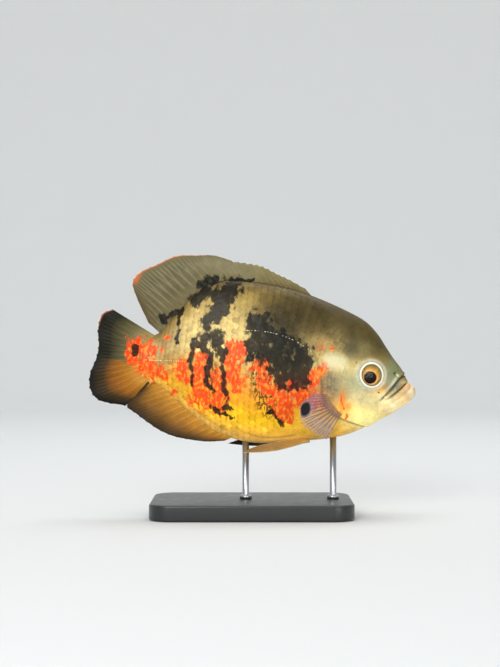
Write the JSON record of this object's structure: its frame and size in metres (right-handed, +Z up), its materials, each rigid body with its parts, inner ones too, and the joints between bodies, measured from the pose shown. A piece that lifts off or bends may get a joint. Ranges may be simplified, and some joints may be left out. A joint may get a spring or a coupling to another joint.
{
  "type": "oscar fish model",
  "caption": "Still life-size model of an adult oscar fish swimming level, deep bodied, marbled black and orange, fins spread, held over a flat base by short rods.",
  "frame": {"origin": "on the floor, under the middle of the bounding box", "axes": "+X the way the fish heads, +Y to its left, +Z up; the fish's long axis lies in the XZ plane, pitched 6 degrees nose down"},
  "size_m": [0.2453, 0.1, 0.1949],
  "materials": {
    "skin_head": "grey-olive fish skin, wet satin",
    "skin_lips": "pink-beige lips, wet satin",
    "skin_jaw": "pale yellow throat, wet satin",
    "skin_flank": "tan and orange scales marbled with black, wet satin",
    "eye": "clear polished eye with a gold iris, dark pupil and white ring",
    "fin_olive": "grey-olive fin membrane with an orange rim",
    "fin_amber": "amber-brown fin membrane",
    "fin_dark": "dark olive and brown fin membrane",
    "fin_clear": "translucent lilac-grey fin membrane",
    "stand_base": "satin black",
    "stand_rod": "brushed"
  },
  "bodies": {
    "root": {"head": "skin_head", "gill_cover_left": "skin_head", "gill_cover_right": "skin_head", "upper_jaw": "skin_lips", "lower_jaw": "skin_jaw", "eye_left": "eye", "eye_right": "eye", "torso": "skin_flank", "tail_stalk": "skin_flank", "dorsal_fin_spiny": "fin_olive", "dorsal_fin_soft": "fin_olive", "anal_fin": "fin_amber", "tail_fin": "fin_dark", "pectoral_fin_left": "fin_clear", "pectoral_fin_right": "fin_clear", "pelvic_fin_left": "fin_amber", "pelvic_fin_right": "fin_amber", "stand_base": "stand_base", "stand_rod_rear": "stand_rod", "stand_rod_front": "stand_rod"}
  },
  "joints": []
}
